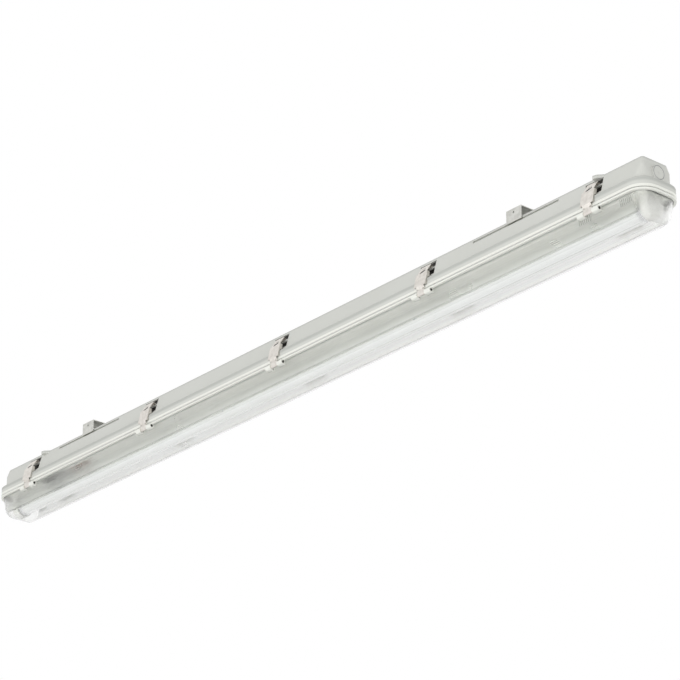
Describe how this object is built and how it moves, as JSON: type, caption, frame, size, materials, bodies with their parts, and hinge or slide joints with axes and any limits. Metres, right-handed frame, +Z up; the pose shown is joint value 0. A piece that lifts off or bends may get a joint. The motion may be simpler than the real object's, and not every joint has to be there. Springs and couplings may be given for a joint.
{
  "type": "vapor tight light fixture",
  "caption": "Slim waterproof batten light with a grey housing, clear ribbed diffuser, stainless latches, a straight fluorescent lamp and two sliding ceiling brackets.",
  "frame": {"origin": "centre of the ceiling plane, midway between the two bracket screws", "axes": "+X along the fixture, -Y towards the near long side, +Z up towards the ceiling"},
  "size_m": [1.564, 0.0916, 0.1063],
  "materials": {
    "housing_plastic": "light grey moulded, fine satin texture",
    "foam_seal": "soft grey foam",
    "clear_cover": "clear, glossy, ribbed on the inside",
    "tray_paint": "white powder coat",
    "white_plastic": "white moulded, half gloss",
    "rotor_plastic": "off-white moulded, half gloss",
    "driver_case": "pale grey coated steel",
    "zinc_steel": "zinc plated",
    "stainless": "cold rolled stainless, half bright",
    "brass_parts": "bright",
    "lead_insulation": "smooth",
    "white_lead_insulation": "smooth",
    "lamp_glass": "opal, coated white on the inside",
    "lamp_cap_metal": "satin"
  },
  "bodies": {
    "fixture": {"housing": "housing_plastic", "seal": "foam_seal", "diffuser": "clear_cover", "gear_tray": "tray_paint", "tray_fixings": "white_plastic", "driver": "driver_case", "driver_screws": "zinc_steel", "terminal_block": "white_plastic", "terminal_screws": "zinc_steel", "earth_tag": "brass_parts", "lampholder_left": "white_plastic", "lampholder_right": "white_plastic", "holder_contacts": "brass_parts", "supply_leads": "lead_insulation", "lamp_leads": "white_lead_insulation", "latch_axles_near": "stainless", "latch_axles_far": "stainless"},
    "lamp": {"rotor_left": "rotor_plastic", "rotor_right": "rotor_plastic", "lamp_tube": "lamp_glass", "lamp_cap_left": "lamp_cap_metal", "lamp_cap_right": "lamp_cap_metal", "lamp_pins": "brass_parts"},
    "bracket_left": {"bracket_left": "stainless"},
    "bracket_right": {"bracket_right": "stainless"},
    "latch_near_1": {"latch_near_1": "stainless"},
    "latch_near_2": {"latch_near_2": "stainless"},
    "latch_near_3": {"latch_near_3": "stainless"},
    "latch_near_4": {"latch_near_4": "stainless"},
    "latch_near_5": {"latch_near_5": "stainless"},
    "latch_far_1": {"latch_far_1": "stainless"},
    "latch_far_2": {"latch_far_2": "stainless"},
    "latch_far_3": {"latch_far_3": "stainless"},
    "latch_far_4": {"latch_far_4": "stainless"},
    "latch_far_5": {"latch_far_5": "stainless"}
  },
  "joints": [
    {"name": "latch_near_1_swing", "type": "hinge", "parent": "fixture", "child": "latch_near_1", "pos_m": [-0.68, -0.041, -0.0731], "axis": [1, 0, 0], "range_deg": [0, 150]},
    {"name": "latch_near_2_swing", "type": "hinge", "parent": "fixture", "child": "latch_near_2", "pos_m": [-0.34, -0.041, -0.0731], "axis": [1, 0, 0], "range_deg": [0, 150]},
    {"name": "latch_near_3_swing", "type": "hinge", "parent": "fixture", "child": "latch_near_3", "pos_m": [0, -0.041, -0.0731], "axis": [1, 0, 0], "range_deg": [0, 150]},
    {"name": "latch_near_4_swing", "type": "hinge", "parent": "fixture", "child": "latch_near_4", "pos_m": [0.34, -0.041, -0.0731], "axis": [1, 0, 0], "range_deg": [0, 150]},
    {"name": "latch_near_5_swing", "type": "hinge", "parent": "fixture", "child": "latch_near_5", "pos_m": [0.68, -0.041, -0.0731], "axis": [1, 0, 0], "range_deg": [0, 150]},
    {"name": "latch_far_1_swing", "type": "hinge", "parent": "fixture", "child": "latch_far_1", "pos_m": [-0.68, 0.041, -0.0731], "axis": [-1, 0, 0], "range_deg": [0, 150]},
    {"name": "latch_far_2_swing", "type": "hinge", "parent": "fixture", "child": "latch_far_2", "pos_m": [-0.34, 0.041, -0.0731], "axis": [-1, 0, 0], "range_deg": [0, 150]},
    {"name": "latch_far_3_swing", "type": "hinge", "parent": "fixture", "child": "latch_far_3", "pos_m": [0, 0.041, -0.0731], "axis": [-1, 0, 0], "range_deg": [0, 150]},
    {"name": "latch_far_4_swing", "type": "hinge", "parent": "fixture", "child": "latch_far_4", "pos_m": [0.34, 0.041, -0.0731], "axis": [-1, 0, 0], "range_deg": [0, 150]},
    {"name": "latch_far_5_swing", "type": "hinge", "parent": "fixture", "child": "latch_far_5", "pos_m": [0.68, 0.041, -0.0731], "axis": [-1, 0, 0], "range_deg": [0, 150]},
    {"name": "lamp_turn", "type": "hinge", "parent": "fixture", "child": "lamp", "pos_m": [0, 0, -0.0845], "axis": [1, 0, 0], "range_deg": [0, 90]},
    {"name": "bracket_left_slide", "type": "slide", "parent": "fixture", "child": "bracket_left", "axis": [1, 0, 0], "range_m": [-0.07, 0.07]},
    {"name": "bracket_right_slide", "type": "slide", "parent": "fixture", "child": "bracket_right", "axis": [1, 0, 0], "range_m": [-0.07, 0.07]}
  ]
}
